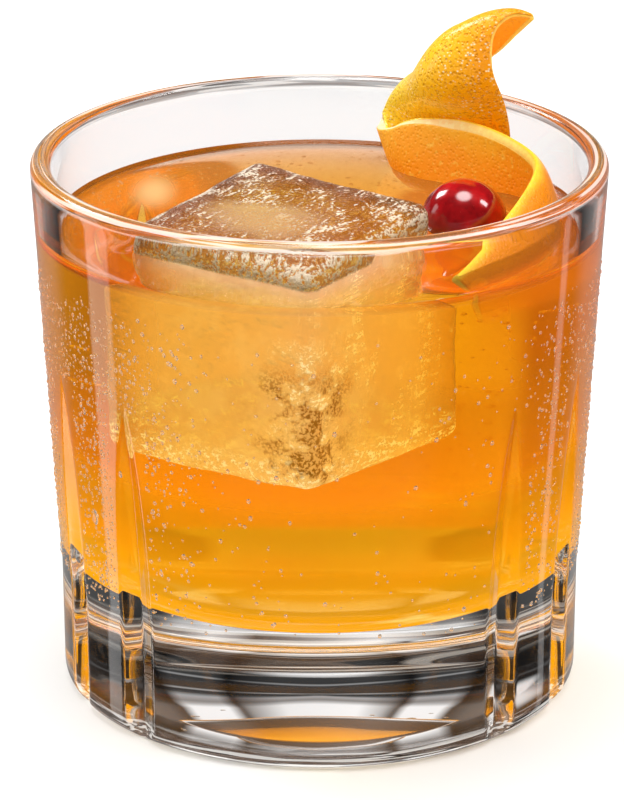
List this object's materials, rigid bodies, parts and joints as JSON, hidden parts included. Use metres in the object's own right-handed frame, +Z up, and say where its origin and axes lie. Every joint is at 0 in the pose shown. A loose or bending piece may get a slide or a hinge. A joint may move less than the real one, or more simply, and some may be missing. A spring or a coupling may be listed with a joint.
{
  "type": "whiskey sour",
  "caption": "Iced amber drink in a short fluted tumbler with a big clear ice cube, a cherry and a curled orange peel twist standing above the rim.",
  "frame": {"origin": "centre of the foot on the surface that the glass stands on", "axes": "+Z up along the glass's axis, -Y towards the front, +X to the right with the cherry and the orange peel"},
  "size_m": [0.095, 0.095, 0.1109],
  "materials": {
    "glass": "clear polished glass",
    "drink": "clear amber liquid",
    "ice": "wet ice, frosted on its faces",
    "cherry": "glossy wet cherry skin",
    "orange_peel": "satin pored citrus rind with a pale cut edge"
  },
  "bodies": {
    "root": {"glass": "glass", "drink": "drink", "ice_cube": "ice", "cherry": "cherry", "orange_peel": "orange_peel"}
  },
  "joints": []
}
